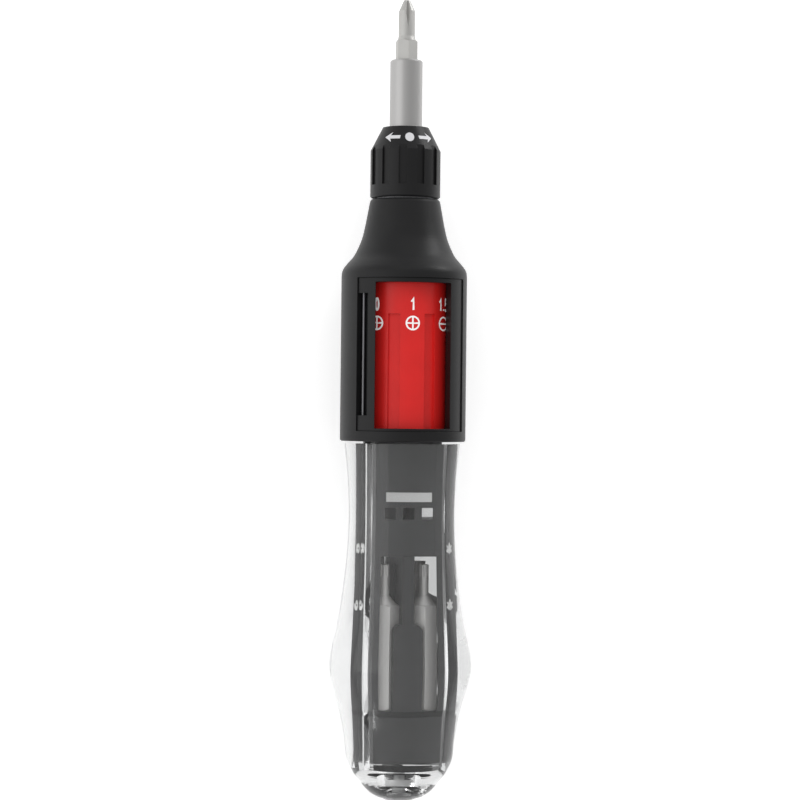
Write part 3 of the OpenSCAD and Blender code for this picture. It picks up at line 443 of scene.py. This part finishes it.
def print_on_drum(flat, name, chamber, drop, material):
    """A print beside a chamber, that far below the drum's top."""
    radius = DRUM_R + PRINT_LIFT
    middle = chamber * CHAMBER_STEP

    def place(x, y):
        angle = middle + x / radius
        return Vector((radius * math.sin(angle), DRUM_TOP_Y - drop + y,
                       AXIS_Z + radius * math.cos(angle)))

    finish_print(flat, name, place, "drum", material)


def print_on_rail(flat, name, side, inset, stretch, height, material):
    """A print on the column's left (-1) or right (1) rail, that far from the rear end."""
    middle_x = side * (RAIL_EDGE_X - inset)

    def place(x, y):
        return Vector((middle_x + side * y, REAR_Y + height + stretch * x,
                       AXIS_Z + RAIL_T / 2 + PRINT_LIFT))

    finish_print(flat, name, place, "housing", material)


def make_prints(material):
    """Numbers and signs on the drum, and numbers and stars on the column's rails."""
    for chamber, (number, sign) in CHAMBER_LABELS.items():
        tag = chamber % CHAMBER_COUNT
        digits = flat_number(number, DIGIT_HEIGHT, DIGIT_LINE)
        print_on_drum(digits, f"drum_number_{tag}", chamber, DIGIT_DROP, material)
        print_on_drum(flat_sign(sign), f"drum_sign_{tag}", chamber, SIGN_DROP, material)
    for number, height in RAIL_NUMBERS.items():
        digits = flat_number(number, RAIL_NUMBER_HEIGHT, RAIL_NUMBER_LINE)
        print_on_rail(digits, f"rail_number_{number}", -1, RAIL_NUMBER_INSET,
                      RAIL_NUMBER_STRETCH, height, material)
        star = bmesh.new()
        flat_star(star, RAIL_STAR_R)
        print_on_rail(star, f"rail_star_{number}", 1, RAIL_STAR_INSET,
                      RAIL_STAR_STRETCH, height, material)


# Stage: floor, light and camera

def make_floor():
    """Pale floor that glows evenly under the picture and fades away round it."""
    corners = [(x * FLOOR_HALF, y * FLOOR_HALF, 0) for x, y in ((-1, -1), (1, -1), (1, 1), (-1, 1))]
    mesh = bpy.data.meshes.new("floor")
    mesh.from_pydata(corners, [], [(0, 1, 2, 3)])
    floor = add_object("floor", mesh)
    material, tree, shader, coords = new_material("floor")
    cloud = spread_noise(tree, noise(tree, coords, FLOOR_GRAIN), 0, 1)
    tree.links.new(blend_colours(tree, cloud, *FLOOR_TINTS), shader.inputs["Base Color"])
    shader.inputs["Roughness"].default_value = FLOOR_ROUGH
    shader.inputs["Emission Color"].default_value = (1, 1, 1, 1)
    distance = tree.nodes.new("ShaderNodeVectorMath")
    distance.operation = "LENGTH"
    tree.links.new(coords, distance.inputs[0])
    glow = spread(tree, distance.outputs["Value"], GLOW_FULL, GLOW_END, GLOW_STRENGTH, 0)
    tree.links.new(glow, shader.inputs["Emission Strength"])
    mesh.materials.append(material)


def make_light(name, place, size, power):
    """Soft box that faces the tool's middle."""
    data = bpy.data.lights.new(name, "AREA")
    data.shape = "RECTANGLE"
    data.size, data.size_y = size
    data.energy = power
    lamp = add_object(name, data)
    lamp.location = Vector(place)
    aim = Vector((0, 0, AXIS_Z)) - lamp.location
    lamp.rotation_euler = aim.to_track_quat("-Z", "Y").to_euler()


def make_world():
    """Light tent, brighter on the left."""
    world = bpy.data.worlds.new("studio")
    bpy.context.scene.world = world
    world.use_nodes = True
    tree = world.node_tree
    background = tree.nodes["Background"]
    background.inputs["Color"].default_value = (1, 1, 1, 1)
    coords = tree.nodes.new("ShaderNodeTexCoord")
    axes = tree.nodes.new("ShaderNodeSeparateXYZ")
    tree.links.new(coords.outputs["Generated"], axes.inputs[0])
    level = spread(tree, axes.outputs["X"], TENT_LEFT_X, TENT_RIGHT_X,
                   TENT_LEFT_LEVEL, TENT_RIGHT_LEVEL)
    tree.links.new(level, background.inputs["Strength"])


def make_camera():
    """The photograph's view: straight down on the window, turned a little to the left."""
    data = bpy.data.cameras.new("camera")
    data.sensor_width = SENSOR_WIDTH_MM
    seen = PICTURE_PX / PX_PER_MM * MM
    data.lens = SENSOR_WIDTH_MM * CAMERA_DISTANCE / seen
    data.clip_start = CLIP_START
    data.clip_end = CLIP_END
    camera = add_object("camera", data)
    back = Vector((-math.sin(VIEW_TURN), 0, math.cos(VIEW_TURN)))
    right = Vector((math.cos(VIEW_TURN), 0, math.sin(VIEW_TURN)))
    up = Vector((0, 1, 0))
    leaning_right = right * math.cos(VIEW_ROLL) + up * math.sin(VIEW_ROLL)
    leaning_up = up * math.cos(VIEW_ROLL) - right * math.sin(VIEW_ROLL)
    middle = Vector((0, (REAR_Y + TIP_Y) / 2, AXIS_Z))
    target = middle - leaning_right * PICTURE_SHIFT_PX / PX_PER_MM * MM
    turn = Matrix((leaning_right, leaning_up, back)).transposed()
    camera.matrix_world = Matrix.Translation(target + back * CAMERA_DISTANCE) @ turn.to_4x4()
    bpy.context.scene.camera = camera


materials = make_materials()
dress_frame(materials)
# The prints carry painted light: a lighter colour and a faint glow, because they lie in shade.
make_prints(materials["print_with_painted_light"])
make_floor()
for box_name, (place, size, power) in SOFT_BOXES.items():
    make_light(box_name, place, size, power)
make_world()
make_camera()
bpy.context.scene.view_settings.view_transform = "Standard"
